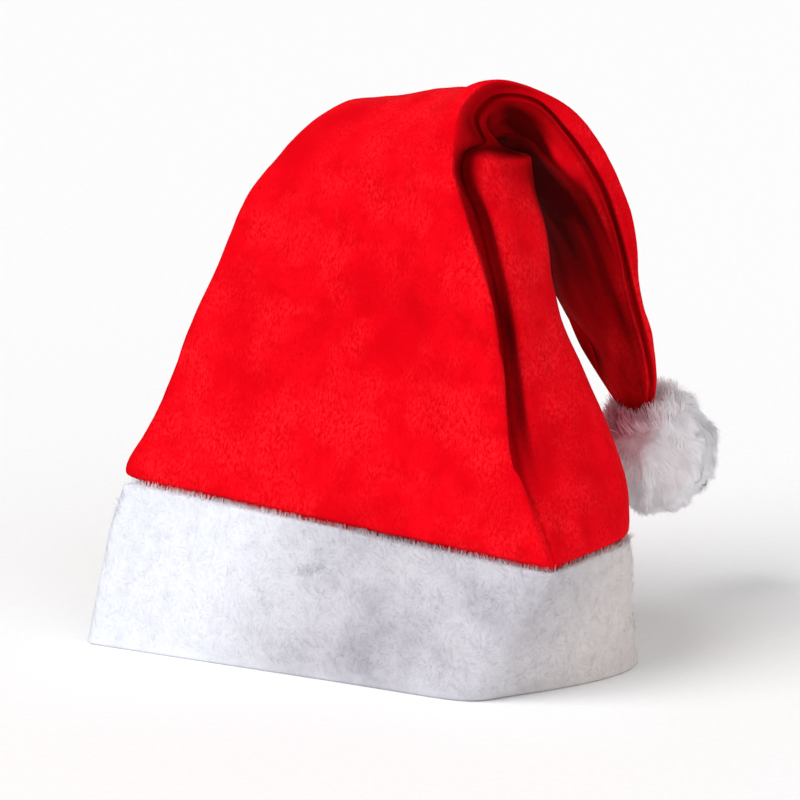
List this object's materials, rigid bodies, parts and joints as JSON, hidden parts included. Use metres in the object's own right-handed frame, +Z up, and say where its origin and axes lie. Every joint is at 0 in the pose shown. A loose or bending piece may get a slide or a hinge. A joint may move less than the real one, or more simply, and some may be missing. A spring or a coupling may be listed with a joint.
{
  "type": "santa hat",
  "caption": "Red felt Christmas hat with a white band and a white pompom, standing on its open rim with its tip folded over and hanging beside it.",
  "frame": {"origin": "bottom centre of the hat's bounding box, on the floor under its rim", "axes": "+Z up; the wide front panel faces -Y; the folded tip hangs at +X, +Y"},
  "size_m": [0.2515, 0.166, 0.2318],
  "materials": {
    "red_felt": "matt felted cloth with a short nap",
    "white_plush": "thick white felt with a brushed nap",
    "white_yarn": "soft fluffy fibre"
  },
  "bodies": {
    "root": {"crown": "red_felt", "band": "white_plush", "pompom": "white_yarn"}
  },
  "joints": []
}
